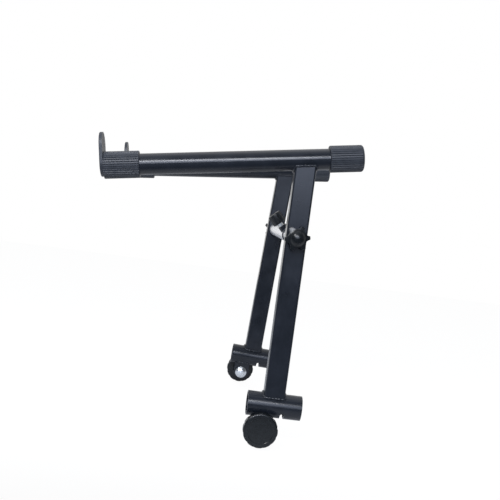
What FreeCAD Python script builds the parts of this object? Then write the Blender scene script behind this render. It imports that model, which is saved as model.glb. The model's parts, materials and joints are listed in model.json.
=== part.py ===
"""A second-tier bracket pair for a crossed-leg keyboard stand.

Two welded steel brackets, mirror images of each other, hang on a telescoping crossbar.
Each bracket has an arm tube that carries the keyboard, an upright, and a split sleeve
that clamps on the arm of the stand below.

Frame, in millimetres: the origin is the centre of the right clamp's bore, +X is the
player's right, +Y points to the back and +Z up. The right bracket lies in the plane
X = 0. All lengths are kept in the spreadsheet "Sizes".
"""

import FreeCAD, Part
import math
import os

import Sketcher
from FreeCAD import Placement, Rotation, Vector

X_AXIS = Vector(1, 0, 0)
Y_AXIS = Vector(0, 1, 0)
Z_AXIS = Vector(0, 0, 1)
NOWHERE = Vector(0, 0, 0)

# Name, value and meaning of every driving size (mm and degrees).
SIZES = [
    ("tube_outer_dia", 30.0, "arm tube, outside"),
    ("tube_wall", 1.5, "arm tube"),
    ("arm_front", 282.9, "upright centreline to the front end of the arm tube"),
    ("arm_rear", 76.5, "upright centreline to the rear end of the arm tube"),
    ("arm_tilt", 9.3, "rear of the arm above level, degrees"),
    ("arm_height", 354.0, "clamp axis to arm axis, on the upright's centreline"),
    ("pivot_height", 243.0, "clamp axis to crossbar axis"),
    ("upright_depth", 30.0, "upright tube, front to back"),
    ("upright_width", 25.0, "upright tube, side to side"),
    ("upright_wall", 1.5, "upright tube"),
    ("upright_corner", 3.0, "upright tube, outside corner radius"),
    ("sleeve_bore_dia", 31.0, "clamp sleeve, bore"),
    ("sleeve_wall", 2.0, "clamp sleeve"),
    ("sleeve_front", 37.3, "upright centreline to the front end of the sleeve"),
    ("sleeve_rear", 40.7, "upright centreline to the rear end of the sleeve"),
    ("relief_place", 13.4, "upright centreline to the middle of the relief cut"),
    ("relief_width", 5.8, "relief cut, front to back"),
    ("relief_top", 7.9, "top of the relief cut, below the clamp axis"),
    ("slit_width", 4.5, "slit along the underside of the sleeve"),
    ("bolt_forward", 15.5, "clamp bolt in front of the upright's centreline"),
    ("bolt_drop", 31.0, "clamp bolt below the clamp axis"),
    ("ear_gap", 17.0, "between the two clamp ears"),
    ("ear_thickness", 3.0, "clamp ear"),
    ("ear_width", 27.0, "clamp ear, front to back"),
    ("ear_below_bolt", 11.0, "clamp bolt to the ear's lower edge"),
    ("ear_corner", 10.5, "lower corners of an ear, radius"),
    ("bead_radius", 2.2, "weld bead"),
    ("screw_dia", 8.0, "clamp bolt and pivot screws"),
    ("screw_hole_dia", 8.6, "plain hole for those screws"),
    ("screw_tip_bevel", 0.8, "bevel of a screw's end"),
    ("thread_gap", 0.05, "radial clearance of a screw in its thread"),
    ("bolt_length", 38.0, "clamp bolt, under its head"),
    ("bolt_head_dia", 20.6, "domed head of the clamp bolt"),
    ("bolt_head_height", 4.9, "domed head of the clamp bolt"),
    ("bolt_head_rim", 1.1, "straight rim of the domed head"),
    ("bolt_neck_length", 4.4, "square neck under the head"),
    ("bolt_spare", 1.0, "clamp knob's blind hole beyond the bolt's end"),
    ("neck_gap", 0.2, "clearance round the square neck"),
    ("washer_dia", 18.0, "steel washers"),
    ("washer_thickness", 1.6, "steel washers"),
    ("clamp_knob_dia", 50.0, "clamp knob"),
    ("clamp_knob_hub_dia", 22.0, "clamp knob's hub"),
    ("clamp_knob_hub_length", 5.5, "clamp knob's hub, under its disc"),
    ("clamp_knob_disc", 12.5, "clamp knob's disc, thickness"),
    ("clamp_knob_edge", 2.4, "rounding of the disc's edges"),
    ("clamp_knob_face_dia", 37.0, "sunk face of the clamp knob"),
    ("clamp_knob_face_depth", 0.5, "sunk face of the clamp knob"),
    ("scallop_count", 12, "finger scallops round the clamp knob"),
    ("scallop_dia", 13.0, "cutter of a scallop"),
    ("scallop_depth", 1.0, "depth of a scallop"),
    ("insert_dia", 13.0, "threaded insert in the clamp knob"),
    ("insert_length", 12.0, "threaded insert in the clamp knob"),
    ("star_knob_dia", 36.0, "star knob, over its lobes"),
    ("star_knob_height", 20.0, "star knob, hub face to crown"),
    ("star_rim_height", 12.5, "hub face to the upper edge of a lobe"),
    ("star_rim_thickness", 6.0, "a lobe's edge"),
    ("star_hub_dia", 18.0, "star knob's hub"),
    ("star_lobes", 6, "lobes of a star knob"),
    ("star_lobe_dia", 6.0, "round tip of a lobe"),
    ("star_valley_depth", 5.0, "valley between two lobes"),
    ("right_star_turn", 10.0, "right star knob on its screw, as photographed, degrees"),
    ("left_star_turn", -18.0, "left star knob on its screw, as photographed, degrees"),
    ("star_edge", 1.2, "bevel of a lobe's edges"),
    ("star_screw_grip", 12.0, "screw moulded into the star knob"),
    ("star_screw_reach", 15.0, "screw held by the crossbar's end plug"),
    ("friction_washer_thickness", 1.5, "nylon washer at each end of the crossbar"),
    ("bracket_spacing", 350.0, "between the two brackets' planes, as photographed"),
    ("left_fold", -2.8, "left bracket about the crossbar at rest, degrees"),
    ("outer_tube_dia", 22.0, "crossbar's outer tube"),
    ("outer_tube_wall", 1.2, "crossbar's outer tube"),
    ("tube_gap", 0.3, "between the crossbar's inner tube and the outer one's bore"),
    ("inner_tube_wall", 1.5, "crossbar's inner tube"),
    ("mouth_place", 92.0, "right bracket's plane to the outer tube's mouth"),
    ("tube_overlap", 145.0, "inner tube inside the outer tube at rest"),
    ("plug_flange", 3.0, "flange of a crossbar end plug"),
    ("plug_length", 18.0, "crossbar end plug inside its tube"),
    ("plug_thread_depth", 17.0, "threaded bore of an end plug"),
    ("bush_flange", 2.0, "flange of the bush in the outer tube's mouth"),
    ("bush_length", 6.0, "that bush inside the tube"),
    ("glide_length", 12.0, "glide on the inner tube's hidden end"),
    ("glide_nose", 4.0, "glide beyond the inner tube's end"),
    ("slide_gap", 0.05, "radial running clearance of the telescope"),
    ("lock_place", 11.0, "outer tube's mouth to the lock screw"),
    ("lock_angle", 43.0, "lock screw in front of upright, degrees"),
    ("lock_boss_dia", 13.0, "threaded boss of the lock screw"),
    ("lock_boss_height", 6.5, "that boss above the outer tube"),
    ("lock_screw_dia", 6.0, "lock screw"),
    ("lock_hole_dia", 6.6, "hole in the outer tube for the lock screw"),
    ("lock_screw_stop", 0.3, "lock screw's tip above the inner tube"),
    ("lock_neck", 5.0, "bare screw between boss and knob"),
    ("lock_knob_dia", 21.0, "lock knob"),
    ("lock_knob_length", 17.0, "lock knob"),
    ("lock_knob_crown", 2.0, "rounding of the lock knob's outer end"),
    ("lock_knob_grip", 10.0, "lock screw moulded into its knob"),
    ("flute_count", 8, "flutes round the lock knob"),
    ("flute_dia", 7.0, "cutter of a flute"),
    ("flute_depth", 1.3, "depth of a flute"),
    ("cap_outer_dia", 38.0, "rubber caps, over their ribs"),
    ("front_cap_length", 49.0, "front cap, lip to mouth"),
    ("left_cap_out", 10.0, "left front cap short of home on its tube, as photographed"),
    ("rear_cap_length", 47.5, "rear cap, overall"),
    ("cap_end", 4.0, "closed end of the rear cap"),
    ("cap_end_edge", 3.4, "rounding of the rear cap's end"),
    ("cap_mouth_edge", 0.8, "chamfer of a cap's mouth"),
    ("rib_count", 36, "ribs round a cap"),
    ("groove_width", 1.5, "groove between two ribs"),
    ("groove_depth", 0.8, "groove between two ribs"),
    ("lip_rise", 27.2, "lip above the front cap"),
    ("lip_foot", 3.0, "lip's lower edge above the ribs' underside"),
    ("lip_thickness", 4.6, "lip of the front cap"),
    ("lip_edge", 1.0, "rounding of the lip's edges"),
]

doc = FreeCAD.newDocument("second_tier")
sheet = doc.addObject("Spreadsheet::Sheet", "Sizes")
for row, (alias, value, meaning) in enumerate(SIZES, start=1):
    sheet.set(f"A{row}", alias)
    sheet.set(f"B{row}", str(value))
    sheet.set(f"C{row}", meaning)
    sheet.setAlias(f"B{row}", alias)
doc.recompute()


class Size:
    """A size as both the text of an expression and its present value."""

    def __init__(self, text, value):
        self.text = text
        self.value = value

    def combine(self, sign, other, result):
        other_text = other.text if isinstance(other, Size) else str(other)
        return Size(f"({self.text} {sign} {other_text})", result)

    def __add__(self, other):
        return self.combine("+", other, self.value + plain(other))

    def __sub__(self, other):
        return self.combine("-", other, self.value - plain(other))

    def __mul__(self, other):
        return self.combine("*", other, self.value * plain(other))

    def __truediv__(self, other):
        return self.combine("/", other, self.value / plain(other))

    def __neg__(self):
        return Size(f"(-1 * {self.text})", -self.value)


def plain(number):
    return number.value if isinstance(number, Size) else number


def size(alias):
    return Size(f"Sizes.{alias}", float(sheet.get(alias)))


def bind(feature, name, amount):
    """Tie one property of a feature to the spreadsheet."""
    feature.setExpression(name, amount.text)


# ---------------------------------------------------------------- sketches and features

ORIGIN = (-1, 1)
HORIZONTAL = -1
VERTICAL = -2
START, END, CENTRE = 1, 2, 3


def new_body(label):
    body = doc.addObject("PartDesign::Body", label)
    body.Label = label
    return body


def origin_feature(body, role):
    return next(f for f in body.Origin.OriginFeatures if f.Role == role)


def new_sketch(body, plane):
    sketch = body.newObject("Sketcher::SketchObject", "Sketch")
    sketch.AttachmentSupport = [(origin_feature(body, plane), "")]
    sketch.MapMode = "FlatFace"
    return sketch


def fix_point(sketch, geometry, point, x, y):
    """Hold a point of the sketch at x, y; None stands for zero."""
    for kind, axis, place in (("DistanceX", VERTICAL, x), ("DistanceY", HORIZONTAL, y)):
        if place is None:
            sketch.addConstraint(Sketcher.Constraint("PointOnObject", geometry, point, axis))
            continue
        held = Sketcher.Constraint(kind, *ORIGIN, geometry, point, place.value)
        sketch.setExpression(f"Constraints[{sketch.addConstraint(held)}]", place.text)


def circle(sketch, diameter, x=None, y=None):
    centre = Vector(plain(x or 0), plain(y or 0), 0)
    ring = sketch.addGeometry(Part.Circle(centre, Z_AXIS, diameter.value / 2), False)
    fix_point(sketch, ring, CENTRE, x, y)
    held = Sketcher.Constraint("Diameter", ring, diameter.value)
    sketch.setExpression(f"Constraints[{sketch.addConstraint(held)}]", diameter.text)


def outline(sketch, points, domes=()):
    """A closed outline through the points, counter-clockwise. A stretch named in domes
    is an arc centred on the vertical axis; the other stretches are straight."""
    places = [Vector(plain(x or 0), plain(y or 0), 0) for x, y in points]
    count = len(points)
    for index, first in enumerate(places):
        last = places[(index + 1) % count]
        if index in domes:
            rise = (last.Length**2 - first.Length**2) / (2 * (last.y - first.y))
            centre = Vector(0, rise, 0)
            ends = [math.atan2(place.y - rise, place.x) for place in (first, last)]
            full = Part.Circle(centre, Z_AXIS, (first - centre).Length)
            edge = Part.ArcOfCircle(full, *ends)
        else:
            edge = Part.LineSegment(first, last)
        sketch.addGeometry(edge, False)
    for index in range(count):
        joint = Sketcher.Constraint("Coincident", index, END, (index + 1) % count, START)
        sketch.addConstraint(joint)
        if index in domes:
            on_axis = Sketcher.Constraint("PointOnObject", index, CENTRE, VERTICAL)
            sketch.addConstraint(on_axis)
    for index, (x, y) in enumerate(points):
        fix_point(sketch, index, START, x, y)


def box_outline(sketch, left, right, bottom, top):
    outline(sketch, [(left, bottom), (right, bottom), (right, top), (left, top)])


def pad(body, sketch, length, reverse=False):
    feature = body.newObject("PartDesign::Pad", "Pad")
    feature.Profile = sketch
    bind(feature, "Length", length)
    feature.Reversed = reverse
    doc.recompute()
    return feature


def pocket_through(body, sketch):
    """Cut a sketch through everything, to both sides of its plane."""
    feature = body.newObject("PartDesign::Pocket", "Pocket")
    feature.Profile = sketch
    feature.Type = "ThroughAll"
    feature.SideType = "Symmetric"
    return checked_cut(body, feature)


def pocket_deep(body, sketch, depth, reverse=False):
    feature = body.newObject("PartDesign::Pocket", "Pocket")
    feature.Profile = sketch
    bind(feature, "Length", depth)
    feature.Reversed = reverse
    return checked_cut(body, feature)


def checked_cut(body, feature):
    """Recompute after a cut and make sure that it took something away."""
    before = feature.BaseFeature.Shape.Volume
    doc.recompute()
    if not body.Shape.Volume < before:
        raise RuntimeError(f"{body.Label}: {feature.Name} cut nothing")
    return feature


def revolve(body, points, domes=()):
    """A turned piece: the outline's x is the radius and its y runs along Z."""
    sketch = new_sketch(body, "XZ_Plane")
    outline(sketch, points, domes)
    feature = body.newObject("PartDesign::Revolution", "Revolution")
    feature.Profile = sketch
    feature.ReferenceAxis = (sketch, ["V_Axis"])
    feature.Angle = 360
    doc.recompute()
    return feature


def repeat_round(body, feature, count):
    pattern = body.newObject("PartDesign::PolarPattern", "PolarPattern")
    pattern.Originals = [feature]
    pattern.Axis = (origin_feature(body, "Z_Axis"), [""])
    pattern.Angle = 360
    bind(pattern, "Occurrences", count)
    body.Tip = pattern
    doc.recompute()
    return pattern


def edge_names(feature, wanted):
    edges = enumerate(feature.Shape.Edges, start=1)
    return [f"Edge{index}" for index, edge in edges if wanted(edge)]


def round_edges(body, feature, wanted, radius):
    fillet = body.newObject("PartDesign::Fillet", "Fillet")
    fillet.Base = (feature, edge_names(feature, wanted))
    bind(fillet, "Radius", radius)
    doc.recompute()
    return fillet


def bevel_edges(body, feature, wanted, width):
    chamfer = body.newObject("PartDesign::Chamfer", "Chamfer")
    chamfer.Base = (feature, edge_names(feature, wanted))
    bind(chamfer, "Size", width)
    doc.recompute()
    return chamfer


def is_straight(edge):
    return isinstance(edge.Curve, Part.Line)


def runs_along(axis):
    def wanted(edge):
        return is_straight(edge) and abs(edge.Curve.Direction.dot(axis)) > 0.999

    return wanted


def ring_at(height, radius):
    """Edges of a turned piece at one height and radius."""

    def wanted(edge):
        if not isinstance(edge.Curve, Part.Circle):
            return False
        near = abs(edge.Curve.Center.z - plain(height)) < 0.01
        return near and abs(edge.Curve.Radius - radius.value) < 0.01

    return wanted


def tube(label, outer_dia, wall, length):
    """A round tube that stands on its own XY plane."""
    body = new_body(label)
    sketch = new_sketch(body, "XY_Plane")
    circle(sketch, outer_dia)
    circle(sketch, outer_dia - wall * 2)
    pad(body, sketch, length)
    return body


def ring(label, outer_dia, bore_dia, thickness):
    body = new_body(label)
    sketch = new_sketch(body, "XY_Plane")
    circle(sketch, outer_dia)
    circle(sketch, bore_dia)
    pad(body, sketch, thickness)
    return body


# ---------------------------------------------------------------- places

def at(alias):
    return size(alias).value


def bracket_place(side):
    """Where a bracket stands: the right one at the origin, the left one across the
    crossbar and folded a little about it."""
    if side == "right":
        return Placement()
    pivot = Vector(0, 0, at("pivot_height"))
    fold = Placement(NOWHERE, Rotation(X_AXIS, at("left_fold")), pivot)
    return Placement(Vector(-at("bracket_spacing"), 0, 0), Rotation()) * fold


def facing_out(side):
    """Half a turn for the hardware of the left bracket, so that knobs face outwards."""
    return Rotation(Z_AXIS, 0 if side == "right" else 180)


def clamp_place(side):
    """On the clamp bolt's axis, in the bracket's plane, +X outwards."""
    bolt = Vector(0, -at("bolt_forward"), -at("bolt_drop"))
    return bracket_place(side) * Placement(bolt, facing_out(side))


def pivot_place(side):
    """On the crossbar's axis, in the bracket's plane, +X outwards."""
    pivot = Vector(0, 0, at("pivot_height"))
    return bracket_place(side) * Placement(pivot, facing_out(side))


def arm_place(side):
    """On the arm's axis at the upright, +Z to the rear along the arm, +Y downwards."""
    middle = Vector(0, 0, at("arm_height"))
    tilt = Rotation(X_AXIS, at("arm_tilt") - 90)
    return bracket_place(side) * Placement(middle, tilt)


def along_x(distance):
    """Local +Z turned to +X, from the given distance along it."""
    return Placement(Vector(distance, 0, 0), Rotation(Y_AXIS, 90))


def along_z(distance):
    return Placement(Vector(0, 0, distance), Rotation())


parts = []


def keep(part, place):
    part.Placement = place
    parts.append(part)


# ---------------------------------------------------------------- the welded bracket


def make_arm_tube(side):
    length = size("arm_front") + size("arm_rear")
    body = tube(f"{side}_arm_tube", size("tube_outer_dia"), size("tube_wall"), length)
    keep(body, arm_place(side) * along_z(-at("arm_front")))


def make_upright(side):
    """Rectangular tube, coped to the arm tube above and to the clamp sleeve below,
    with the pivot screw's hole through both side walls."""
    body = new_body(f"{side}_upright_tube")
    width, depth, wall = size("upright_width"), size("upright_depth"), size("upright_wall")
    sketch = new_sketch(body, "XY_Plane")
    box_outline(sketch, -width / 2, width / 2, -depth / 2, depth / 2)
    solid = pad(body, sketch, size("arm_height"))
    solid = round_edges(body, solid, runs_along(Z_AXIS), size("upright_corner"))

    inside = new_sketch(body, "XY_Plane")
    half_width, half_depth = width / 2 - wall, depth / 2 - wall
    box_outline(inside, -half_width, half_width, -half_depth, half_depth)
    hollow = pocket_through(body, inside)

    def inner_corner(edge):
        place = edge.CenterOfMass
        inner = abs(abs(place.x) - half_width.value) < 0.01
        return runs_along(Z_AXIS)(edge) and inner and abs(abs(place.y) - half_depth.value) < 0.01

    round_edges(body, hollow, inner_corner, size("upright_corner") - wall)

    foot = new_sketch(body, "XZ_Plane")
    circle(foot, size("sleeve_bore_dia") + size("sleeve_wall") * 2)
    pocket_through(body, foot)

    head = new_sketch(body, "XZ_Plane")
    head.AttachmentOffset = Placement(NOWHERE, Rotation(X_AXIS, 1))
    bind(head, "AttachmentOffset.Base.y", size("arm_height"))
    bind(head, "AttachmentOffset.Rotation.Angle", size("arm_tilt"))
    circle(head, size("tube_outer_dia"))
    pocket_through(body, head)

    pivot = new_sketch(body, "YZ_Plane")
    circle(pivot, size("screw_hole_dia"), None, size("pivot_height"))
    pocket_through(body, pivot)
    keep(body, bracket_place(side))


def make_clamp_sleeve(side):
    """Round sleeve with a cross cut half way up and a slit from it to the front end, so
    that the front half closes when its ears are pulled together."""
    outer = size("sleeve_bore_dia") + size("sleeve_wall") * 2
    length = size("sleeve_front") + size("sleeve_rear")
    body = tube(f"{side}_clamp_sleeve", outer, size("sleeve_wall"), length)
    middle = size("sleeve_front") + size("relief_place")

    relief = new_sketch(body, "YZ_Plane")
    round_top = size("relief_top") + size("relief_width") / 2
    near, far = middle - size("relief_width") / 2, middle + size("relief_width") / 2
    box_outline(relief, round_top, outer, near, far)
    pocket_through(body, relief)
    crown = new_sketch(body, "YZ_Plane")
    circle(crown, size("relief_width"), round_top, middle)
    pocket_through(body, crown)

    slit = new_sketch(body, "XZ_Plane")
    half = size("slit_width") / 2
    box_outline(slit, -half, half, None, middle)
    pocket_deep(body, slit, outer)
    front = Placement(Vector(0, -at("sleeve_front"), 0), Rotation(X_AXIS, -90))
    keep(body, bracket_place(side) * front)


def make_ear(side, where):
    """A clamp ear: a plate coped on the sleeve, with rounded lower corners. The inner ear
    has a square hole for the bolt's neck and the outer one a round hole."""
    body = new_body(f"{side}_{where}_ear")
    thickness, half = size("ear_thickness"), size("ear_width") / 2
    inner_face = size("ear_gap") / 2
    sketch = new_sketch(body, "YZ_Plane")
    offset = inner_face if where == "outer" else -(inner_face + thickness)
    bind(sketch, "AttachmentOffset.Base.z", offset)
    box_outline(sketch, -half, half, -size("ear_below_bolt"), size("bolt_drop"))
    plate = pad(body, sketch, thickness)

    def lower_corner(edge):
        return runs_along(X_AXIS)(edge) and edge.CenterOfMass.z < 0

    round_edges(body, plate, lower_corner, size("ear_corner"))
    cope = new_sketch(body, "XZ_Plane")
    circle(cope, size("sleeve_bore_dia") + size("sleeve_wall") * 2, None, size("bolt_drop"))
    pocket_through(body, cope)

    hole = new_sketch(body, "YZ_Plane")
    if where == "outer":
        circle(hole, size("screw_hole_dia"))
    else:
        neck = size("screw_dia") / 2 + size("neck_gap")
        box_outline(hole, -neck, neck, -neck, neck)
    pocket_through(body, hole)
    keep(body, clamp_place(side))


def corner_bead(tube_radius, half_width, half_depth, bead, middle):
    """A bead round the foot of a rectangular tube that stands on a round one lying along
    Y: straight along its two sides and curved across its front and back."""
    reach = math.degrees(math.asin(half_width / tube_radius))
    height = math.sqrt(tube_radius**2 - half_width**2)
    front, back = middle - half_depth, middle + half_depth
    pieces = []
    for across in (-half_width, half_width):
        foot = Vector(across, front, height)
        pieces.append(Part.makeCylinder(bead, back - front, foot, Y_AXIS))
        for along in (front, back):
            pieces.append(Part.makeSphere(bead, Vector(across, along, height)))
    for along in (front, back):
        start = Vector(-half_width, along, height)
        section = Part.makeCircle(bead, start, Vector(height, 0, half_width))
        disc = Part.Face(Part.Wire(section))
        pieces.append(disc.revolve(Vector(0, along, 0), Y_AXIS, 2 * reach))
    return pieces[0].fuse(pieces[1:])


def make_welds(side):
    """The beads that hold the bracket together: round both ends of the upright and along
    the outside of each clamp ear."""
    bead = at("bead_radius")
    half_width, half_depth = at("upright_width") / 2, at("upright_depth") / 2
    sleeve_radius = at("sleeve_bore_dia") / 2 + at("sleeve_wall")
    arm_radius = at("tube_outer_dia") / 2
    tilt = math.radians(at("arm_tilt"))

    low = corner_bead(sleeve_radius, half_width, half_depth, bead, 0)
    middle_height = (arm_radius + math.sqrt(arm_radius**2 - half_width**2)) / 2
    shift = -middle_height * math.tan(tilt)
    high = corner_bead(arm_radius, half_width, half_depth / math.cos(tilt), bead, shift)
    hang = Placement(NOWHERE, Rotation(Y_AXIS, 180))
    lean = Placement(Vector(0, 0, at("arm_height")), Rotation(X_AXIS, at("arm_tilt")))
    high.Placement = lean * hang

    ears = []
    ear_side = at("ear_gap") / 2 + at("ear_thickness")
    ear_top = -math.sqrt(sleeve_radius**2 - ear_side**2)
    ear_length = at("ear_width") - 2 * bead
    ear_front = -at("bolt_forward") - ear_length / 2
    for across in (-ear_side, ear_side):
        foot = Vector(across, ear_front, ear_top)
        ears.append(Part.makeCylinder(bead, ear_length, foot, Y_AXIS))

    long_way = at("sleeve_front") + at("sleeve_rear") + 2 * bead
    sleeve = Part.makeCylinder(sleeve_radius, long_way, Vector(0, -long_way / 2, 0), Y_AXIS)
    arm = Part.makeCylinder(arm_radius, 4 * half_depth, Vector(0, -2 * half_depth, 0), Y_AXIS)
    arm.Placement = lean
    corner = Vector(-half_width, -half_depth, 0)
    upright = Part.makeBox(2 * half_width, 2 * half_depth, at("arm_height"), corner)
    corners = [edge for edge in upright.Edges if runs_along(Z_AXIS)(edge)]
    upright = upright.makeFillet(at("upright_corner"), corners)
    between = Vector(-ear_side, ear_front - bead, -at("bolt_drop"))
    plates = Part.makeBox(2 * ear_side, ear_length + 2 * bead, at("bolt_drop"), between)

    beads = [shape.cut([sleeve, arm, upright]) for shape in (low, high)]
    beads += [shape.cut([sleeve, plates]) for shape in ears]
    welds = doc.addObject("Part::Feature", f"{side}_welds")
    welds.Label = f"{side}_welds"
    welds.Shape = Part.makeCompound([solid for shape in beads for solid in shape.Solids])
    keep(welds, bracket_place(side))


# ---------------------------------------------------------------- the rubber caps


def cut_ribs(body, length):
    """Grooves along a cap, from its XY plane, that leave the ribs standing."""
    sketch = new_sketch(body, "XY_Plane")
    radius, half = size("cap_outer_dia") / 2, size("groove_width") / 2
    floor = radius - size("groove_depth")
    outside = radius + size("groove_depth")
    outline(sketch, [(floor, None), (outside, -half * 2), (outside, half * 2)])
    groove = pocket_deep(body, sketch, length, reverse=True)
    repeat_round(body, groove, size("rib_count"))


def slot_outline(sketch, diameter, foot, rise):
    """An upright slot shape. Its round ends lie foot and rise above the origin, which is
    towards -Y."""
    radius = diameter.value / 2
    top = Vector(0, -rise.value, 0)
    base = Vector(0, -foot.value, 0)
    upper = Part.ArcOfCircle(Part.Circle(top, Z_AXIS, radius), math.pi, 2 * math.pi)
    lower = Part.ArcOfCircle(Part.Circle(base, Z_AXIS, radius), 0, math.pi)
    right = Part.LineSegment(top + X_AXIS * radius, base + X_AXIS * radius)
    left = Part.LineSegment(base - X_AXIS * radius, top - X_AXIS * radius)
    for edge in (upper, right, lower, left):
        sketch.addGeometry(edge, False)
    for index in range(4):
        joint = Sketcher.Constraint("Tangent", index, END, (index + 1) % 4, START)
        sketch.addConstraint(joint)
    fix_point(sketch, 0, CENTRE, None, -rise)
    fix_point(sketch, 2, CENTRE, None, -foot)
    sketch.addConstraint(Sketcher.Constraint("Vertical", 1))
    held = Sketcher.Constraint("Diameter", 2, diameter.value)
    sketch.setExpression(f"Constraints[{sketch.addConstraint(held)}]", diameter.text)


def make_front_cap(side):
    """A ribbed rubber sleeve moulded in one with the lip that stops the keyboard."""
    diameter, length = size("cap_outer_dia"), size("front_cap_length")
    body = tube(f"{side}_front_cap", diameter, (diameter - size("tube_outer_dia")) / 2, length)
    bevel_edges(body, body.Tip, ring_at(length, diameter / 2), size("cap_mouth_edge"))
    cut_ribs(body, length)
    lip = new_sketch(body, "XY_Plane")
    slot_outline(lip, diameter, size("lip_foot"), size("lip_rise"))
    plate = pad(body, lip, size("lip_thickness"), reverse=True)

    def front_edge(edge):
        return abs(edge.CenterOfMass.z + at("lip_thickness")) < 0.01

    round_edges(body, plate, front_edge, size("lip_edge"))
    out = at("left_cap_out") if side == "left" else 0
    keep(body, arm_place(side) * along_z(-at("arm_front") - out))


def make_rear_cap(side):
    """A ribbed rubber cup with a rounded closed end."""
    body = new_body(f"{side}_rear_cap")
    bore, radius = size("tube_outer_dia") / 2, size("cap_outer_dia") / 2
    length = size("rear_cap_length")
    floor = length - size("cap_end")
    points = [(bore, None), (radius, None), (radius, length), (None, length)]
    cup = revolve(body, points + [(None, floor), (bore, floor)])
    cup = round_edges(body, cup, ring_at(length, radius), size("cap_end_edge"))
    bevel_edges(body, cup, ring_at(0, radius), size("cap_mouth_edge"))
    cut_ribs(body, length)
    keep(body, arm_place(side) * along_z(at("arm_rear") - floor.value))


# ---------------------------------------------------------------- the clamp's hardware


def grip_length():
    """From under the bolt's head to the clamp knob's hub."""
    return size("ear_gap") + size("ear_thickness") * 2 + size("washer_thickness")


def make_clamp_bolt(side):
    """Domed coach bolt with a square neck."""
    body = new_body(f"{side}_clamp_bolt")
    head, shank = size("bolt_head_dia") / 2, size("screw_dia") / 2
    length = size("bolt_length")
    tip = shank - size("screw_tip_bevel")
    points = [
        (None, -size("bolt_head_height")),
        (head, -size("bolt_head_rim")),
        (head, None),
        (shank, None),
        (shank, length - (shank - tip)),
        (tip, length),
        (None, length),
    ]
    revolve(body, points, domes=(0,))
    neck = new_sketch(body, "XY_Plane")
    box_outline(neck, -shank, shank, -shank, shank)
    pad(body, neck, size("bolt_neck_length"))
    under_head = -(at("ear_gap") / 2 + at("ear_thickness"))
    keep(body, clamp_place(side) * along_x(under_head))


def make_clamp_knob(side):
    """Moulded knob: a thick scalloped disc on a hub, with a threaded insert."""
    body = new_body(f"{side}_clamp_knob")
    radius, hub = size("clamp_knob_dia") / 2, size("clamp_knob_hub_dia") / 2
    neck = size("clamp_knob_hub_length")
    face = neck + size("clamp_knob_disc")
    seat, hole = size("insert_dia") / 2, size("screw_hole_dia") / 2
    deep = size("bolt_length") - grip_length() + size("bolt_spare")
    points = [
        (seat, None),
        (hub, None),
        (hub, neck),
        (radius, neck),
        (radius, face),
        (None, face),
        (None, deep),
        (hole, deep),
        (hole, size("insert_length")),
        (seat, size("insert_length")),
    ]
    turned = revolve(body, points)
    back, front = ring_at(neck, radius), ring_at(face, radius)
    rounded = round_edges(body, turned, lambda e: back(e) or front(e), size("clamp_knob_edge"))
    sunk = new_sketch(body, "XY_Plane")
    bind(sunk, "AttachmentOffset.Base.z", face)
    circle(sunk, size("clamp_knob_face_dia"))
    pocket_deep(body, sunk, size("clamp_knob_face_depth"))
    scallop = new_sketch(body, "XY_Plane")
    circle(scallop, size("scallop_dia"), radius - size("scallop_depth") + size("scallop_dia") / 2)
    repeat_round(body, pocket_through(body, scallop), size("scallop_count"))
    outside = at("ear_gap") / 2 + at("ear_thickness") + at("washer_thickness")
    keep(body, clamp_place(side) * along_x(outside))
    thread = size("screw_dia") + size("thread_gap") * 2
    insert = ring(f"{side}_clamp_insert", size("insert_dia"), thread, size("insert_length"))
    keep(insert, clamp_place(side) * along_x(outside))


def make_clamp_washer(side):
    body = ring(
        f"{side}_clamp_washer", size("washer_dia"), size("screw_hole_dia"), size("washer_thickness")
    )
    ear_face = at("ear_gap") / 2 + at("ear_thickness")
    keep(body, clamp_place(side) * along_x(ear_face))


# ---------------------------------------------------------------- the pivot's hardware


def make_star_washer(side):
    body = ring(
        f"{side}_star_washer", size("washer_dia"), size("screw_hole_dia"), size("washer_thickness")
    )
    keep(body, pivot_place(side) * along_x(at("upright_width") / 2))


def star_outline(radius, lobe, valley_floor, count):
    """Lobes and valleys of arcs that run smoothly into each other. The valley's radius
    follows from the lobe's and from the distance of the valley's floor."""
    half = math.pi / count
    lobe_place = radius - lobe
    straight = lobe_place * math.cos(half)
    square = lobe**2 - lobe_place**2 - valley_floor**2 + 2 * valley_floor * straight
    valley = square / (2 * (valley_floor - straight - lobe))
    valley_place = valley_floor + valley

    def point(distance, angle):
        return Vector(distance * math.cos(angle), distance * math.sin(angle), 0)

    edges = []
    for index in range(count):
        lobe_angle = 2 * half * index
        before = point(valley_place, lobe_angle - half)
        after = point(valley_place, lobe_angle + half)
        centre = point(lobe_place, lobe_angle)
        start = centre + (before - centre).normalize() * lobe
        end = centre + (after - centre).normalize() * lobe
        edges.append(Part.Arc(start, point(radius, lobe_angle), end).toShape())
        next_centre = point(lobe_place, lobe_angle + 2 * half)
        next_start = next_centre + (after - next_centre).normalize() * lobe
        floor = point(valley_floor, lobe_angle + half)
        edges.append(Part.Arc(end, floor, next_start).toShape())
    return Part.Wire(edges)


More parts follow.
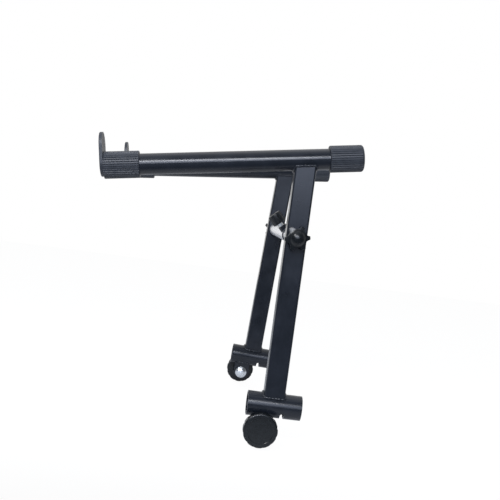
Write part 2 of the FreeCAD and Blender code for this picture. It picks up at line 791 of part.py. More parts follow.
def make_star_knob(side):
    """Domed six-lobed knob, moulded on its screw."""
    radius, hub = at("star_knob_dia") / 2, at("star_hub_dia") / 2
    height, upper = at("star_knob_height"), at("star_rim_height")
    lower = upper - at("star_rim_thickness")
    edge, screw = at("star_edge"), at("screw_dia") / 2
    lobe = at("star_lobe_dia") / 2
    outline_wire = star_outline(radius, lobe, radius - at("star_valley_depth"), int(at("star_lobes")))
    star = Part.Face(outline_wire).extrude(Vector(0, 0, height))
    star.rotate(NOWHERE, Z_AXIS, 90 + at(f"{side}_star_turn"))

    rise = (height**2 - radius**2 - upper**2) / (2 * (height - upper))
    bow = Vector(radius / 2, 0, rise + math.sqrt((height - rise) ** 2 - radius**2 / 4))
    crown = Part.Arc(Vector(radius - edge, 0, upper), bow, Vector(0, 0, height)).toShape()
    corners = [
        Vector(0, 0, height),
        Vector(0, 0, at("star_screw_grip")),
        Vector(screw, 0, at("star_screw_grip")),
        Vector(screw, 0, 0),
        Vector(hub, 0, 0),
        Vector(hub, 0, lower - edge),
        Vector(radius - edge, 0, lower),
        Vector(radius, 0, lower + edge),
        Vector(radius, 0, upper - edge),
        Vector(radius - edge, 0, upper),
    ]
    side_edges = [Part.makeLine(a, b) for a, b in zip(corners, corners[1:])]
    section = Part.Face(Part.Wire([crown] + side_edges))
    body = doc.addObject("Part::Feature", f"{side}_star_knob")
    body.Label = f"{side}_star_knob"
    body.Shape = star.common(section.revolve(NOWHERE, Z_AXIS, 360))
    outside = at("upright_width") / 2 + at("washer_thickness")
    keep(body, pivot_place(side) * along_x(outside))


def make_star_screw(side):
    """The pivot screw: through the upright and into the crossbar's end plug."""
    body = new_body(f"{side}_star_screw")
    inside = size("washer_thickness") + size("upright_width")
    inside = inside + size("friction_washer_thickness") + size("star_screw_reach")
    radius = size("screw_dia") / 2
    tip = radius - size("screw_tip_bevel")
    top = size("star_screw_grip")
    points = [
        (None, -inside),
        (tip, -inside),
        (radius, -(inside - (radius - tip))),
        (radius, top),
        (None, top),
    ]
    revolve(body, points)
    outside = at("upright_width") / 2 + at("washer_thickness")
    keep(body, pivot_place(side) * along_x(outside))


# ---------------------------------------------------------------- the crossbar


def crossbar_place(side, distance):
    """On the crossbar's axis, +Z inwards, from the given distance inside a bracket's
    plane. The crossbar doesn't take part in the left bracket's fold."""
    middle = Vector(0, 0, at("pivot_height"))
    if side == "right":
        return Placement(middle - X_AXIS * distance, Rotation(Y_AXIS, -90))
    far = middle - X_AXIS * (at("bracket_spacing") - distance)
    return Placement(far, Rotation(Y_AXIS, 90))


def make_friction_washer(side):
    body = ring(
        f"{side}_friction_washer",
        size("outer_tube_dia"),
        size("screw_hole_dia"),
        size("friction_washer_thickness"),
    )
    keep(body, crossbar_place(side, at("upright_width") / 2))


def inner_tube_dia():
    """What the outer tube's bore leaves to the inner tube."""
    bore = size("outer_tube_dia") - size("outer_tube_wall") * 2
    return bore - size("tube_gap") * 2


def make_end_plug(side, bore_dia):
    """Flanged plug in a crossbar tube's end, threaded for the pivot screw."""
    body = new_body(f"{side}_end_plug")
    flange, radius = size("outer_tube_dia") / 2, bore_dia / 2
    thread = size("screw_dia") / 2 + size("thread_gap")
    rim, end = size("plug_flange"), size("plug_flange") + size("plug_length")
    deep = size("plug_thread_depth")
    points = [
        (thread, None),
        (flange, None),
        (flange, rim),
        (radius, rim),
        (radius, end),
        (None, end),
        (None, deep),
        (thread, deep),
    ]
    revolve(body, points)
    keep(body, crossbar_place(side, at("upright_width") / 2 + at("friction_washer_thickness")))


def make_inner_tube():
    first = size("upright_width") / 2 + size("friction_washer_thickness") + size("plug_flange")
    length = size("mouth_place") + size("tube_overlap") - first
    body = tube("inner_tube", inner_tube_dia(), size("inner_tube_wall"), length)
    keep(body, crossbar_place("right", first.value))


def make_inner_glide():
    """Plastic plug on the inner tube's hidden end, which keeps it central."""
    body = new_body("inner_glide")
    outer_bore = size("outer_tube_dia") / 2 - size("outer_tube_wall")
    nose, stem = size("glide_nose"), inner_tube_dia() / 2 - size("inner_tube_wall")
    running = outer_bore - size("slide_gap")
    back = -(size("glide_length") - nose)
    points = [
        (None, back),
        (stem, back),
        (stem, None),
        (running, None),
        (running, nose),
        (None, nose),
    ]
    revolve(body, points)
    keep(body, crossbar_place("right", at("mouth_place") + at("tube_overlap")))


def make_outer_tube():
    """The crossbar's outer tube, with the hole that lets the lock screw through."""
    first = size("upright_width") / 2 + size("friction_washer_thickness") + size("plug_flange")
    length = size("bracket_spacing") - size("mouth_place") - first
    body = tube("outer_tube", size("outer_tube_dia"), size("outer_tube_wall"), length)
    hole = new_sketch(body, "YZ_Plane")
    circle(hole, size("lock_hole_dia"), None, length - size("lock_place"))
    pocket_deep(body, hole, size("outer_tube_dia"))
    place = crossbar_place("left", first.value)
    keep(body, place * Placement(NOWHERE, Rotation(Z_AXIS, at("lock_angle"))))


def make_mouth_bush():
    """Flanged plastic bush that guides the inner tube in the outer tube's mouth."""
    body = new_body("mouth_bush")
    bore = inner_tube_dia() / 2 + size("slide_gap")
    seat = size("outer_tube_dia") / 2 - size("outer_tube_wall")
    flange = size("outer_tube_dia") / 2
    lip, end = size("bush_flange"), size("bush_flange") + size("bush_length")
    points = [
        (bore, None),
        (flange, None),
        (flange, lip),
        (seat, lip),
        (seat, end),
        (bore, end),
    ]
    revolve(body, points)
    keep(body, crossbar_place("right", at("mouth_place") - at("bush_flange")))


def lock_place():
    """On the crossbar's axis at the lock screw, +Z out along the screw."""
    along = at("mouth_place") + at("lock_place")
    foot = Vector(-along, 0, at("pivot_height"))
    return Placement(foot, Rotation(X_AXIS, at("lock_angle")))


def make_lock():
    """Thumb screw that grips the inner tube: its boss on the outer tube, the screw and
    the knob moulded on it."""
    outer_radius = size("outer_tube_dia") / 2
    top = outer_radius + size("lock_boss_height")
    boss = new_body("lock_boss")
    sketch = new_sketch(boss, "XY_Plane")
    circle(sketch, size("lock_boss_dia"))
    circle(sketch, size("lock_screw_dia") + size("thread_gap") * 2)
    pad(boss, sketch, top)
    cope = new_sketch(boss, "YZ_Plane")
    circle(cope, size("outer_tube_dia"))
    pocket_through(boss, cope)
    keep(boss, lock_place())

    knob_foot = top + size("lock_neck")
    radius, grip = size("lock_screw_dia") / 2, size("lock_knob_grip")
    screw = new_body("lock_screw")
    first = inner_tube_dia() / 2 + size("lock_screw_stop")
    sketch = new_sketch(screw, "XY_Plane")
    bind(sketch, "AttachmentOffset.Base.z", first)
    circle(sketch, size("lock_screw_dia"))
    pad(screw, sketch, knob_foot + grip - first)
    keep(screw, lock_place())

    knob = new_body("lock_knob")
    outer, height = size("lock_knob_dia") / 2, size("lock_knob_length")
    points = [(radius, None), (outer, None), (outer, height), (None, height)]
    turned = revolve(knob, points + [(None, grip), (radius, grip)])
    round_edges(knob, turned, ring_at(height, outer), size("lock_knob_crown"))
    flute = new_sketch(knob, "XY_Plane")
    circle(flute, size("flute_dia"), outer - size("flute_depth") + size("flute_dia") / 2)
    repeat_round(knob, pocket_through(knob, flute), size("flute_count"))
    keep(knob, lock_place() * along_z(knob_foot.value))


# ---------------------------------------------------------------- build and write

for side in ("right", "left"):
    make_arm_tube(side)
    make_upright(side)
    make_clamp_sleeve(side)
    make_ear(side, "inner")
    make_ear(side, "outer")
    make_welds(side)
    make_front_cap(side)
    make_rear_cap(side)
    make_clamp_bolt(side)
    make_clamp_washer(side)
    make_clamp_knob(side)
    make_star_washer(side)
    make_star_knob(side)
    make_star_screw(side)
    make_friction_washer(side)
make_end_plug("right", inner_tube_dia() - size("inner_tube_wall") * 2)
make_end_plug("left", size("outer_tube_dia") - size("outer_tube_wall") * 2)
make_inner_tube()
make_inner_glide()
make_outer_tube()
make_mouth_bush()
make_lock()

doc.recompute()
for item in doc.Objects:
    if "Invalid" in item.State or "Error" in item.State:
        raise RuntimeError(f"{item.Label} ({item.Name}) failed: {item.State}")
for part in parts:
    if part.Shape.isNull() or not part.Shape.isValid() or not part.Shape.Solids:
        raise RuntimeError(f"{part.Label} has no valid solid")

os.makedirs("parts", exist_ok=True)
for part in parts:
    part.Shape.exportStep(os.path.join("parts", f"{part.Label}.step"))
print(f"{len(parts)} parts written")
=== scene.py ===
# %% [markdown]
# # The second tier of a keyboard stand
#
# Two welded steel brackets hang on a telescoping crossbar. Each one carries the keyboard
# on an arm tube with ribbed rubber caps, and clamps on the stand below with a split
# sleeve and a big knob. The metal construction comes in finished from the CAD model. This
# script gives every piece its real surface, remodels the pieces whose soft edges and
# ripples the eye looks for, and sets up the photograph.

# %% Load the construction
import json
import math

import bpy
from mathutils import Matrix, Vector


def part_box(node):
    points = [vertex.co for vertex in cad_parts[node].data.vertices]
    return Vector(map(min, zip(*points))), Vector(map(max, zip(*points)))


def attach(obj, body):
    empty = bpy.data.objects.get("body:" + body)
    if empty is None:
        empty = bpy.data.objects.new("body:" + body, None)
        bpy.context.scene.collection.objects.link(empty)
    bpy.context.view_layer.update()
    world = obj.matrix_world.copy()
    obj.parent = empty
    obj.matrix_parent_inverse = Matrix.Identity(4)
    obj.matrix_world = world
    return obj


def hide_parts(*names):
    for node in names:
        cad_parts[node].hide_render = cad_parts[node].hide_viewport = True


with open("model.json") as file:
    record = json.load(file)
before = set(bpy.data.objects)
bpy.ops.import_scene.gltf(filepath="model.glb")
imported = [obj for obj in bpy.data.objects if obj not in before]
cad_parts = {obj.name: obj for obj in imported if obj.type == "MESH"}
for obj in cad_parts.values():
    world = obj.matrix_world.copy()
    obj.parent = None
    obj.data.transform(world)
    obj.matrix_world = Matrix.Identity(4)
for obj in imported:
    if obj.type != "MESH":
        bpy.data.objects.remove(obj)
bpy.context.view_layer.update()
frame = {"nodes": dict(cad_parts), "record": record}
nodes = frame["nodes"]
MM = 0.001
SIDES = ("right", "left")
print("pieces from CAD:", len(nodes))


# %% [markdown]
# ## Helpers for materials
#
# A colour is written as the hex value that a picture shows, and Blender calculates with
# linear light, so one function turns the one into the other. A second one adds a node,
# fills in its settings and joins its sockets, which keeps each material readable as a
# list of what happens to the surface.


# %% Colour and node helpers
def colour(hex_value):
    """Linear colour of an sRGB hex value."""
    channels = [int(hex_value[i : i + 2], 16) / 255 for i in (1, 3, 5)]
    linear = [c / 12.92 if c <= 0.04045 else ((c + 0.055) / 1.055) ** 2.4 for c in channels]
    return (*linear, 1.0)


def add(tree, kind, settings=None, links=None):
    """Add a node, fill in its sockets and properties, and link sockets to it."""
    node = tree.nodes.new(kind)
    for name, value in (settings or {}).items():
        if isinstance(name, int) or name in node.inputs:
            node.inputs[name].default_value = value
        else:
            setattr(node, name, value)
    for name, socket in (links or {}).items():
        tree.links.new(socket, node.inputs[name])
    return node


def new_material(name, **surface):
    """A material with its shader's sockets set, and its object coordinates."""
    material = bpy.data.materials.new(name)
    material.use_nodes = True
    tree = material.node_tree
    shader = tree.nodes["Principled BSDF"]
    for socket, value in surface.items():
        shader.inputs[socket.replace("_", " ")].default_value = value
    place = add(tree, "ShaderNodeTexCoord").outputs["Object"]
    return material, tree, shader, place


def mottle(tree, place, size, detail=3.0, stretch=(1, 1, 1)):
    """Noise whose blobs are about size metres across, stretched along an axis."""
    scaled = add(
        tree, "ShaderNodeMapping", {"Scale": tuple(1 / s for s in stretch)}, {"Vector": place}
    )
    noise = add(
        tree,
        "ShaderNodeTexNoise",
        {"Scale": 1 / size, "Detail": detail},
        {"Vector": scaled.outputs["Vector"]},
    )
    return noise.outputs["Fac"]


def spread(tree, amount, low, high):
    """Turn a pattern's 0.3 to 0.7 into a range of plain numbers."""
    node = add(
        tree,
        "ShaderNodeMapRange",
        {"From Min": 0.3, "From Max": 0.7, "To Min": low, "To Max": high},
        {"Value": amount},
    )
    return node.outputs["Result"]


def shades(tree, amount, dark, light):
    """Turn a pattern into colours between two shades."""
    ramp = add(tree, "ShaderNodeValToRGB", links={"Fac": amount})
    ends = ramp.color_ramp.elements
    ends[0].position, ends[0].color = 0.3, colour(dark)
    ends[1].position, ends[1].color = 0.7, colour(light)
    return ramp.outputs["Color"]


def bumps(tree, amount, height, strength):
    """A bump of a real height in metres."""
    node = add(
        tree, "ShaderNodeBump", {"Distance": height, "Strength": strength}, {"Height": amount}
    )
    return node.outputs["Normal"]


def clouded(tree, shader, pattern, dark, light, smooth, rough):
    """Let one pattern vary a surface's colour and its roughness."""
    tree.links.new(shades(tree, pattern, dark, light), shader.inputs["Base Color"])
    tree.links.new(spread(tree, pattern, smooth, rough), shader.inputs["Roughness"])


def calculate(tree, operation, first, second):
    """One sum of two amounts, of which the second may be a plain number."""
    node = add(tree, "ShaderNodeMath", {"operation": operation}, {0: first})
    if isinstance(second, float):
        node.inputs[1].default_value = second
    else:
        tree.links.new(second, node.inputs[1])
    return node.outputs[0]


print("black powder coat in linear light:", [round(c, 4) for c in colour("#13171d")])


# %% [markdown]
# ## Powder coat
#
# The steel is sprayed with black polyester powder and baked. The melted grains leave a
# faint orange peel of about a millimetre and a satin gloss that draws a soft lamp into a
# bright line along a tube. The black has a little blue in it.

# %% Powder coat
powder_coat, tree, shader, place = new_material(
    "black_powder_coat", IOR=1.45, Specular_IOR_Level=0.4
)
peel = mottle(tree, place, 1.6 * MM)
cloud = mottle(tree, place, 22 * MM)
clouded(tree, shader, cloud, "#13171d", "#191d24", 0.20, 0.27)
tree.links.new(bumps(tree, peel, 0.006 * MM, 0.5), shader.inputs["Normal"])
print(powder_coat.name, "has", len(tree.nodes), "nodes")

# %% [markdown]
# ## Rubber and moulded plastic
#
# The caps are moulded rubber: greyer and duller than the tubes, with the fine matt grain
# of the mould. The knobs are moulded nylon with a finer grain and a satin gloss.

# %% Rubber and plastics
cap_rubber, tree, shader, place = new_material(
    "moulded_cap_rubber", IOR=1.5, Specular_IOR_Level=0.4
)
grain = mottle(tree, place, 0.9 * MM)
cloud = mottle(tree, place, 9 * MM)
clouded(tree, shader, cloud, "#22262c", "#2b2f36", 0.42, 0.54)
tree.links.new(bumps(tree, grain, 0.006 * MM, 0.15), shader.inputs["Normal"])

knob_plastic, tree, shader, place = new_material(
    "moulded_knob_nylon", IOR=1.5, Specular_IOR_Level=0.33
)
grain = mottle(tree, place, 0.8 * MM)
cloud = mottle(tree, place, 6 * MM)
clouded(tree, shader, cloud, "#0c0f12", "#111518", 0.24, 0.32)
tree.links.new(bumps(tree, grain, 0.003 * MM, 0.1), shader.inputs["Normal"])

washer_nylon, tree, shader, place = new_material("washer_nylon", IOR=1.5)
cloud = mottle(tree, place, 3 * MM)
clouded(tree, shader, cloud, "#17191c", "#1e2024", 0.45, 0.55)
print("plastics:", cap_rubber.name, knob_plastic.name, washer_nylon.name)

# %% [markdown]
# ## Bright metal
#
# The screws are zinc plated, which gives a pale grey with faint clouds. The crossbar's
# tubes are drawn and nickel plated, so their surface has fine lines along the tube.
# Threaded brass shows only inside the clamp knobs.

# %% Metals
zinc_plate, tree, shader, place = new_material("zinc_plated_steel", Metallic=1.0)
cloud = mottle(tree, place, 2.5 * MM)
clouded(tree, shader, cloud, "#c9ced2", "#dde1e4", 0.26, 0.38)

bright_tube, tree, shader, place = new_material("drawn_nickel_tube", Metallic=1.0)
lines = mottle(tree, place, 0.5 * MM, stretch=(60, 1, 1))
clouded(tree, shader, lines, "#cfd1d6", "#e4e6ea", 0.22, 0.34)

insert_brass, tree, shader, place = new_material("turned_brass", Metallic=1.0)
cloud = mottle(tree, place, 1.5 * MM)
clouded(tree, shader, cloud, "#b8974f", "#cbaa62", 0.25, 0.35)
print("metals:", zinc_plate.name, bright_tube.name, insert_brass.name)

# %% [markdown]
# ## Every piece gets its finish
#
# The record of the CAD model names a finish for each piece. The construction keeps its
# exact shape here, and only its material changes.

# %% Give every CAD piece its finish
FINISHES = {
    "powder_coat": powder_coat,
    "cap_rubber": cap_rubber,
    "knob_plastic": knob_plastic,
    "nylon": washer_nylon,
    "zinc_plate": zinc_plate,
    "bright_tube": bright_tube,
    "insert_brass": insert_brass,
}
for entry in frame["record"]["subparts"]:
    node = nodes[entry["node"]]
    node.data.materials.clear()
    node.data.materials.append(FINISHES[entry["material_slot"]])
print("finishes:", len(FINISHES))

# %% [markdown]
# ## Where the brackets are
#
# Everything on a bracket is worked out for the right one, whose upright stands on the
# origin, in millimetres. The left one is its mirror image, 350 mm away and folded a
# little about the crossbar, so one matrix takes a finished mesh there.

# %% Places of the two brackets
PIVOT_HEIGHT = 243.0
SPACING = 350.0
LEFT_FOLD = math.radians(-2.8)
pivot = Vector((0, 0, PIVOT_HEIGHT))
fold = Matrix.Translation(pivot) @ Matrix.Rotation(LEFT_FOLD, 4, "X")
fold = fold @ Matrix.Translation(-pivot)
BRACKETS = {
    "right": Matrix.Identity(4),
    "left": Matrix.Translation((-SPACING, 0, 0)) @ fold @ Matrix.Scale(-1, 4, (1, 0, 0)),
}
TO_METRES = Matrix.Scale(MM, 4)
OUTWARDS = Matrix.Rotation(math.pi / 2, 4, "Y")
print("left pivot, mm:", [round(value, 1) for value in BRACKETS["left"] @ pivot])


# %% [markdown]
# ## Helpers for modelling
#
# Operators act on everything that is selected, and the CAD pieces come in selected, so
# each new piece starts with a clean selection. A finished piece is put in its place
# through its mesh: its object stays at the origin, which keeps its material's pattern
# still when the joints move.


# %% Start, place and copy a piece
def deselect():
    if bpy.context.object and bpy.context.object.mode != "OBJECT":
        bpy.ops.object.mode_set(mode="OBJECT")
    bpy.ops.object.select_all(action="DESELECT")


def only(piece):
    """Make one piece the selected and active one."""
    deselect()
    piece.select_set(True)
    bpy.context.view_layer.objects.active = piece


def apply(piece, kind, **settings):
    """Add a modifier with its settings and apply it."""
    only(piece)
    modifier = piece.modifiers.new(kind.lower(), kind)
    for name, value in settings.items():
        setattr(modifier, name, value)
    bpy.ops.object.modifier_apply(modifier=modifier.name)


def tidy_mesh(piece):
    """Merge doubled points and turn all faces outwards."""
    only(piece)
    bpy.ops.object.mode_set(mode="EDIT")
    bpy.ops.mesh.select_all(action="SELECT")
    bpy.ops.mesh.remove_doubles(threshold=0.001)
    bpy.ops.mesh.normals_make_consistent(inside=False)
    bpy.ops.object.mode_set(mode="OBJECT")


def fit(model, name, place, node, body, slot):
    """Copy a model in millimetres to its place and let it stand for a CAD piece."""
    piece = bpy.data.objects.new(name, model.data.copy())
    bpy.context.scene.collection.objects.link(piece)
    piece.data.transform(TO_METRES @ place)
    piece.data.materials.clear()
    piece.data.materials.append(FINISHES[slot])
    only(piece)
    bpy.ops.object.mode_set(mode="EDIT")
    bpy.ops.mesh.select_all(action="SELECT")
    bpy.ops.mesh.normals_make_consistent(inside=False)
    bpy.ops.object.mode_set(mode="OBJECT")
    bpy.ops.object.shade_smooth_by_angle(angle=math.radians(38))
    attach(piece, body)
    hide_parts(node)
    low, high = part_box(node)
    corners = [vertex.co for vertex in piece.data.vertices]
    over = max(
        max(max(c[i] for c in corners) - high[i], low[i] - min(c[i] for c in corners))
        for i in range(3)
    )
    print(f"{name}: {len(piece.data.polygons)} faces, {over / MM:.2f} mm outside its solid")


# %% [markdown]
# ## The weld beads
#
# The upright is welded to the arm tube above it and to the clamp sleeve below it, and the
# two clamp ears are welded to the sleeve. A hand-made bead is a row of frozen drops, a
# little uneven, which catches the light in dots under the coat. A bump in the material
# could draw the ripple, but it shows in the outline too, so the drops are modelled: round
# beads are strung along the line where two pieces meet, melted together by a fine remesh,
# and smoothed.


# %% Lines where the pieces meet
HALF_WIDTH, HALF_DEPTH, CORNER = 12.5, 15.0, 3.0
SLEEVE_RADIUS = 17.5
ARM_RADIUS = 15.0
ARM_HEIGHT = 354.0
ARM_TILT = math.radians(9.3)
EAR_FACE = 11.5
EAR_BEAD_START, EAR_DROPS, EAR_SINK = -24.9, 12, 0.2
DROP_PITCH = 1.7
OUT = 0.7


def round_the_upright():
    """Points round the upright, just outside its walls and rounded corners."""
    corner = CORNER + OUT
    reach = Vector((HALF_WIDTH + OUT - corner, HALF_DEPTH + OUT - corner))
    points = []
    for turn in range(4):
        start = turn * math.pi / 2
        centre = Vector(
            (reach.x * (1 if turn in (0, 3) else -1), reach.y * (1 if turn in (0, 1) else -1))
        )
        for step in range(4):
            angle = start + step / 3 * math.pi / 2
            points.append(centre + corner * Vector((math.cos(angle), math.sin(angle))))
    dense = []
    for here, there in zip(points, points[1:] + points[:1]):
        count = max(1, round((there - here).length / DROP_PITCH))
        dense += [here.lerp(there, step / count) for step in range(count)]
    return dense


def saddle(radius, x):
    """How far from a round tube's axis the upright's wall meets it."""
    return math.sqrt(radius**2 - min(abs(x), HALF_WIDTH) ** 2) + OUT


foot_line, top_line, ear_line = [], [], []
for p in round_the_upright():
    foot_line.append(Vector((p.x, p.y, saddle(SLEEVE_RADIUS, p.x))))
    rise = (p.y * math.sin(ARM_TILT) - saddle(ARM_RADIUS, p.x)) / math.cos(ARM_TILT)
    top_line.append(Vector((p.x, p.y, ARM_HEIGHT + rise)))
for outside in (-1, 1):
    x = outside * (EAR_FACE + OUT)
    z = -math.sqrt(SLEEVE_RADIUS**2 - x**2) - EAR_SINK
    for step in range(EAR_DROPS):
        ear_line.append(Vector((x, EAR_BEAD_START + step * DROP_PITCH, z)))
print("drops:", len(foot_line), len(top_line), len(ear_line))



# %% String the drops, melt them together, smooth them
def drop(radius, point):
    bpy.ops.mesh.primitive_uv_sphere_add(
        segments=12, ring_count=8, radius=radius, location=point
    )


deselect()
drop(1.9, foot_line[0])
beads = bpy.context.object
bpy.ops.object.transform_apply(location=True, rotation=False, scale=False)
bpy.ops.object.mode_set(mode="EDIT")
for index, point in enumerate(foot_line[1:] + top_line + ear_line):
    drop(1.85 + 0.2 * math.sin(index * 2.4) + 0.12 * math.sin(index * 0.7), point)
bpy.ops.object.mode_set(mode="OBJECT")
apply(beads, "REMESH", mode="VOXEL", voxel_size=0.42)
apply(beads, "SMOOTH", factor=0.5, iterations=2)
for side in SIDES:
    name, node, body = f"{side}_weld_beads", f"{side}_welds", f"{side}_bracket"
    fit(beads, name, BRACKETS[side], node, body, "powder_coat")
bpy.data.objects.remove(beads)


# %% [markdown]
# ## The knobs
#
# All three kinds of knob are moulded round a screw or a threaded insert, and all of them
# are turned shapes with hollows in the rim for the fingers: twelve shallow ones round the
# clamp knob's disc, six deep ones that leave the star knob's lobes, and eight flutes in
# the small lock knob. So one recipe makes them, as in a workshop: spin a half profile
# round the axis, cut the hollows with a ring of round cutters, and round every edge
# that is left, as the mould does. A profile starts on the axis with the screw's hole.


# %% Turn, carve and round
def arc(centre, radius, start, end, steps):
    """Points of an arc in a profile, angles in degrees from the radius direction."""
    points = []
    for step in range(steps + 1):
        angle = math.radians(start + (end - start) * step / steps)
        out, up = radius * math.cos(angle), radius * math.sin(angle)
        points.append((centre[0] + out, centre[1] + up))
    return points


def turned(name, profile, steps):
    """Draw a half profile point by point with extrude, and spin it round +Z."""
    deselect()
    bpy.ops.mesh.primitive_plane_add(size=1)
    piece = bpy.context.object
    piece.name = name
    bpy.ops.object.mode_set(mode="EDIT")
    bpy.ops.mesh.select_all(action="SELECT")
    bpy.ops.mesh.merge(type="CENTER")
    bpy.ops.transform.translate(value=(profile[0][0], 0, profile[0][1]))
    for here, there in zip(profile, profile[1:]):
        move = (there[0] - here[0], 0, there[1] - here[1])
        bpy.ops.mesh.extrude_region_move(TRANSFORM_OT_translate={"value": move})
    bpy.ops.mesh.select_all(action="SELECT")
    bpy.ops.mesh.spin(steps=steps, angle=2 * math.pi, center=(0, 0, 0), axis=(0, 0, 1))
    bpy.ops.object.mode_set(mode="OBJECT")
    tidy_mesh(piece)
    print(f"{name}: turned from {len(profile)} points")
    return piece


def carve(piece, count, radius, distance, low, high, first):
    """Cut a ring of upright round hollows, the first one at an angle in degrees."""
    deselect()
    angle = math.radians(first)
    middle = (distance * math.cos(angle), distance * math.sin(angle), (low + high) / 2)
    bpy.ops.mesh.primitive_cylinder_add(
        vertices=48, radius=radius, depth=high - low, location=middle
    )
    cutter = bpy.context.object
    bpy.ops.object.transform_apply(location=True, rotation=False, scale=False)
    bpy.ops.object.mode_set(mode="EDIT")
    bpy.ops.mesh.select_all(action="SELECT")
    for _ in range(count - 1):
        bpy.ops.mesh.duplicate()
        bpy.ops.transform.rotate(
            value=2 * math.pi / count, orient_axis="Z", center_override=(0, 0, 0)
        )
    bpy.ops.object.mode_set(mode="OBJECT")
    apply(piece, "BOOLEAN", operation="DIFFERENCE", object=cutter, solver="EXACT")
    bpy.data.objects.remove(cutter)


def rounded(piece, width):
    """Round every sharp edge that is left."""
    apply(
        piece,
        "BEVEL",
        width=width,
        segments=3,
        limit_method="ANGLE",
        angle_limit=math.radians(32),
        use_clamp_overlap=True,
    )


# %% [markdown]
# ### Clamp knobs
#
# A disc of 50 mm with a sunk face and a short hub, on the 8 mm coach bolt. Its rim is
# rounded more at the front than at the back, and light runs round it as a thin arc. The
# hub stops 0.05 mm short of the washer, so that the two never cut through each other.

# %% Clamp knobs
CLAMP_KNOB_FOOT = (13.1, -15.5, -31)
profile = [(0, 14.6), (4.2, 14.6), (4.2, 12), (6.5, 12), (6.5, 0.05), (10.6, 0.05)]
profile += [(11, 0.45), (11, 5.5), (23.4, 5.5)] + arc((23.4, 6.9), 1.4, -60, 0, 3)
profile += arc((22.2, 15.4), 2.6, 0, 90, 8)
profile += [(18.7, 18), (18.1, 17.5), (0, 17.5)]
clamp_knob = turned("clamp_knob_model", profile, 96)
carve(clamp_knob, 12, 6.5, 30.5, 3, 20, 15)
rounded(clamp_knob, 0.45)
for side in SIDES:
    place = BRACKETS[side] @ Matrix.Translation(CLAMP_KNOB_FOOT) @ OUTWARDS
    name = f"{side}_clamp_knob"
    fit(clamp_knob, f"{side}_clamp_knob_moulding", place, name, name, "knob_plastic")
bpy.data.objects.remove(clamp_knob)

# %% [markdown]
# ### Star knobs
#
# Six round lobes under a domed crown, on the pivot screw. The valleys between the lobes
# run down past the rim, and the crown keeps its full round. Each knob stopped turning
# where its screw was tight, so the two stand at different angles.

# %% Star knobs
STAR_KNOB_FOOT = (14.1, 0, PIVOT_HEIGHT)
STAR_TURNS = {"right": 10.0, "left": -18.0}
profile = [(0, 12), (4.02, 12), (4.02, 0), (8.6, 0), (9, 0.4), (9, 5.6), (16.6, 6.5)]
profile += [(17.6, 7.2), (18, 8.3), (18, 11.2), (17.6, 12.1), (16.6, 12.6), (14.4, 13.1)]
profile += [(12.4, 13.9)]
profile += arc((0, 6.6), 13.4, 36, 90, 10)
star_knob = turned("star_knob_model", profile, 96)
carve(star_knob, 6, 7.9, 20.9, 5.9, 24, 0)
rounded(star_knob, 0.9)
for side in SIDES:
    spun = Matrix.Rotation(math.radians(STAR_TURNS[side]), 4, "X")
    place = BRACKETS[side] @ Matrix.Translation(STAR_KNOB_FOOT) @ spun @ OUTWARDS
    name = f"{side}_star_knob"
    fit(star_knob, f"{side}_star_knob_moulding", place, name, name, "knob_plastic")
bpy.data.objects.remove(star_knob)

# %% [markdown]
# ### Lock knob
#
# A fluted barrel on the 6 mm screw that stops the telescope. It leans forward from the
# crossbar by 43 degrees.

# %% Lock knob
LOCK_SCREW_PLACE = (-103, 0, PIVOT_HEIGHT)
LOCK_LEAN = math.radians(43)
LOCK_KNOB_FOOT = (0, 0, 22.5)
profile = [(0, 10), (3.02, 10), (3.02, 0), (9.6, 0), (10.4, 0.9), (10.5, 1.6), (10.5, 14.6)]
profile += arc((8.1, 14.6), 2.4, 0, 90, 6) + [(6.4, 17), (5.9, 16.6), (0, 16.6)]
lock_knob = turned("lock_knob_model", profile, 64)
carve(lock_knob, 8, 3.5, 12.7, -1, 18, 22.5)
rounded(lock_knob, 0.5)
place = Matrix.Translation(LOCK_SCREW_PLACE) @ Matrix.Rotation(LOCK_LEAN, 4, "X")
place = place @ Matrix.Translation(LOCK_KNOB_FOOT)
fit(lock_knob, "lock_knob_moulding", place, "lock_knob", "lock_knob", "knob_plastic")
bpy.data.objects.remove(lock_knob)

# %% [markdown]
# ## The photograph
#
# The camera stands beside the right bracket, a little in front of it and level with the
# crossbar. Its place, turn and lens come from a fit to points of the picture.

# %% Camera
lens = bpy.data.cameras.new("camera")
lens.lens = 55.77
lens.sensor_width = 36
lens.clip_start = 0.05
camera = bpy.data.objects.new("camera", lens)
bpy.context.scene.collection.objects.link(camera)
camera.location = (1.09429, -0.12616, 0.27575)
camera.rotation_euler = [math.radians(a) for a in (86.9188, -7.6405, 87.0533)]
bpy.context.scene.camera = camera
print("camera to right pivot, m:", round((camera.location - pivot * MM).length, 3))
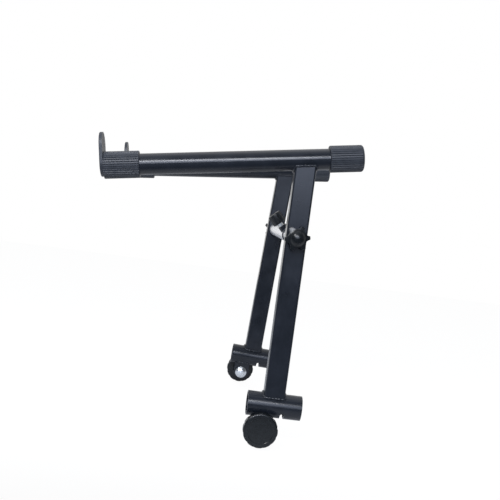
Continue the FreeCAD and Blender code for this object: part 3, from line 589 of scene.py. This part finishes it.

# %% [markdown]
# ## Floor, surround and light
#
# The object was photographed before white paper in a dim room. The floor is pale, shows
# almost white and keeps a faint shadow. Towards the camera, past the stand, its colour
# turns dark grey: painted shade that stands in for the dim room, for the knobs and the
# lower uprights to mirror. The surround is white to the camera and on the paper's side,
# and dim towards the room in front, where the flat faces of the uprights look. A narrow
# strip lamp above the camera draws the bright line along each tube. Two wide soft boxes
# light the rest at a plain level, the one at the camera's side a little blue, and a small
# lamp puts a spark on the knobs.

# %% Floor
FLOOR_HEIGHT = -0.0605
# Where along x the floor's colour starts to fade into painted shade, and where the shade is
# full.
PAINTED_SHADE_START, PAINTED_SHADE_FULL = 0.02, 0.3
PAPER_GLOW, GLOW_SHARE = 1.03, 0.93
deselect()
bpy.ops.mesh.primitive_grid_add(
    x_subdivisions=4, y_subdivisions=4, size=6, location=(0, 0, FLOOR_HEIGHT)
)
floor = bpy.context.object
floor.name = "floor"
bpy.ops.object.transform_apply(location=True, rotation=False, scale=False)
paper, tree, shader, place = new_material("floor_paper", Roughness=0.9)
fibres = mottle(tree, place, 2 * MM)
# Painted shade: towards the camera the floor's colour turns from pale paper to dark grey,
# standing in for the dim room that the lower faces mirror.
across = add(tree, "ShaderNodeSeparateXYZ", links={"Vector": place})
painted_shade_fade = add(
    tree,
    "ShaderNodeMapRange",
    {"From Min": PAINTED_SHADE_START, "From Max": PAINTED_SHADE_FULL, "To Min": 0.0, "To Max": 1.0},
    {"Value": across.outputs["X"]},
)
paper_and_painted_shade = add(
    tree,
    "ShaderNodeMix",
    {"data_type": "RGBA", "B": colour("#46484c")},
    {0: painted_shade_fade.outputs[0], "A": shades(tree, fibres, "#e6e7e9", "#ecedef")},
)
tree.links.new(paper_and_painted_shade.outputs[2], shader.inputs["Base Color"])
rays = add(tree, "ShaderNodeLightPath")
glow = add(tree, "ShaderNodeEmission", {"Color": colour("#ffffff"), "Strength": PAPER_GLOW})
share = calculate(tree, "MULTIPLY", rays.outputs["Is Camera Ray"], GLOW_SHARE)
seen = add(
    tree,
    "ShaderNodeMixShader",
    links={0: share, 1: shader.outputs[0], 2: glow.outputs[0]},
)
tree.links.new(seen.outputs[0], tree.nodes["Material Output"].inputs["Surface"])
floor.data.materials.append(paper)

# %% Surround
world = bpy.data.worlds.new("studio")
bpy.context.scene.world = world
world.use_nodes = True
tree = world.node_tree
tree.nodes.clear()
direction = add(tree, "ShaderNodeTexCoord").outputs["Generated"]
axes = add(tree, "ShaderNodeSeparateXYZ", links={"Vector": direction})
paper_side = add(
    tree,
    "ShaderNodeMapRange",
    {"From Min": 0.35, "From Max": -0.35, "To Min": 0.08, "To Max": 1.0},
    {"Value": axes.outputs["X"]},
)
rays = add(tree, "ShaderNodeLightPath")
to_camera = rays.outputs["Is Camera Ray"]
strength = calculate(tree, "MAXIMUM", to_camera, paper_side.outputs["Result"])
mirrored = rays.outputs["Is Glossy Ray"]
mirrored = calculate(tree, "MAXIMUM", mirrored, rays.outputs["Is Transmission Ray"])
direct = calculate(tree, "MAXIMUM", mirrored, to_camera)
white = add(
    tree, "ShaderNodeBackground", {"Color": colour("#ffffff")}, {"Strength": strength}
)
soft = add(tree, "ShaderNodeBackground", {"Color": colour("#eef1f6"), "Strength": 0.5})
shown = add(
    tree,
    "ShaderNodeMixShader",
    links={0: direct, 1: soft.outputs[0], 2: white.outputs[0]},
)
add(tree, "ShaderNodeOutputWorld", links={"Surface": shown.outputs[0]})
print("surround:", len(tree.nodes), "nodes")


# %% Lamps
MIDDLE = Vector((-0.1, -0.05, 0.22))


def lamp(name, place, width, height, watts, tint):
    """A soft box that points at the middle of the object."""
    light = bpy.data.lights.new(name, "AREA")
    light.shape = "RECTANGLE"
    light.size, light.size_y = width, height
    light.energy = watts
    light.color = colour(tint)[:3]
    box = bpy.data.objects.new(name, light)
    bpy.context.scene.collection.objects.link(box)
    box.location = place
    box.rotation_euler = (MIDDLE - Vector(place)).to_track_quat("-Z", "Y").to_euler()
    print(f"{name}: {watts} W over {width} x {height} m")


lamp("strip", (1.5, -0.45, 1.06), 1.3, 0.23, 29, "#f4f7ff")
lamp("camera_side", (2.2, -0.2, 0.81), 1.7, 1.0, 24, "#dbe6ff")
lamp("overhead", (0.0, -0.2, 1.7), 1.6, 1.6, 5, "#f4f7ff")
lamp("key", (0.95, -0.9, 1.3), 0.22, 0.22, 7, "#ffffff")

# %% Colour management
bpy.context.scene.view_settings.view_transform = "Standard"
